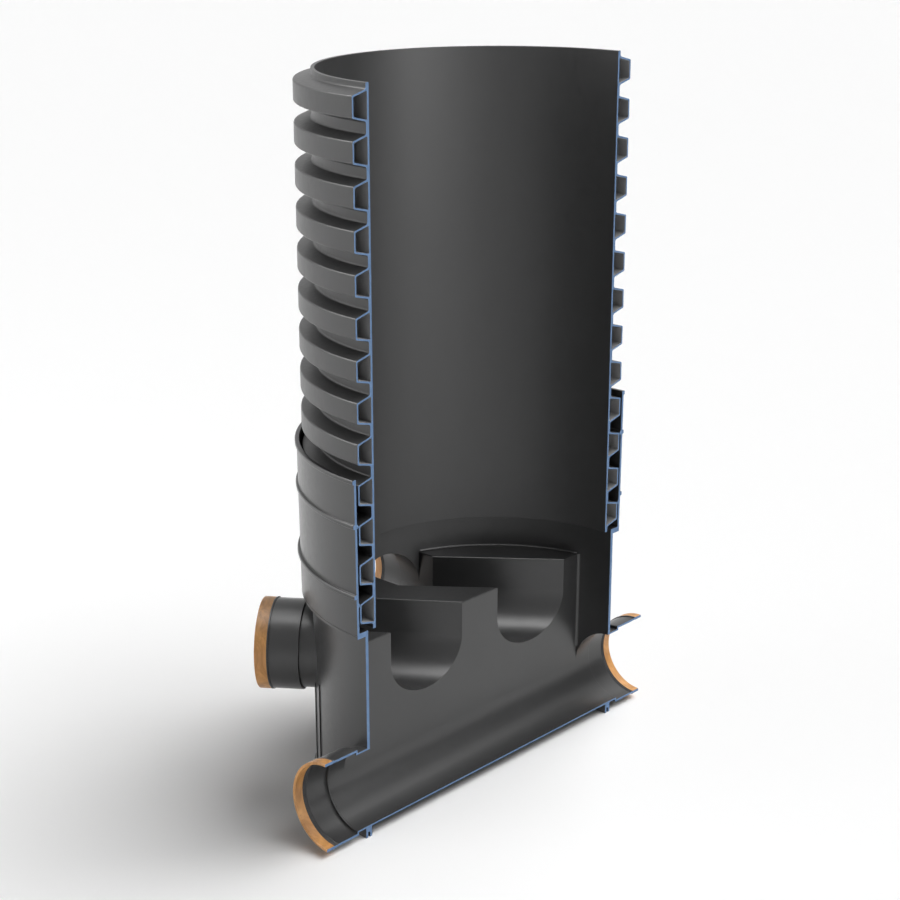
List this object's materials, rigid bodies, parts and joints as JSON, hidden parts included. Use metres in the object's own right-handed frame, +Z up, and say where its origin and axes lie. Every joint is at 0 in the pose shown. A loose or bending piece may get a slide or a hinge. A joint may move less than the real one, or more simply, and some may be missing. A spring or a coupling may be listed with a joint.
{
  "type": "sectioned drain inspection chamber",
  "caption": "Half section of a plastic drain inspection chamber: ribbed riser in a sleeve over a base with a main channel, branch channels in a bench and ringed pipe sockets.",
  "frame": {"origin": "on the chamber's vertical axis, in the section plane, at the ground under the foot", "axes": "+Z up, +X downstream along the main channel, +Y into the kept half, away from the section plane"},
  "size_m": [1.12, 0.56, 1.6775],
  "materials": {
    "riser_plastic": "satin black polypropylene",
    "base_plastic": "satin black polypropylene",
    "ring_plastic": "orange tan moulded plastic",
    "seal_rubber": "matt black rubber"
  },
  "bodies": {
    "root": {"riser_pipe": "riser_plastic", "riser_socket": "base_plastic", "chamber_base": "base_plastic", "main_inlet_socket": "base_plastic", "main_inlet_seal": "seal_rubber", "main_inlet_ring": "ring_plastic", "main_outlet_socket": "base_plastic", "main_outlet_seal": "seal_rubber", "main_outlet_ring": "ring_plastic", "side_inlet_socket": "base_plastic", "side_inlet_seal": "seal_rubber", "side_inlet_ring": "ring_plastic", "rear_inlet_socket": "base_plastic", "rear_inlet_seal": "seal_rubber", "rear_inlet_ring": "ring_plastic"}
  },
  "joints": []
}
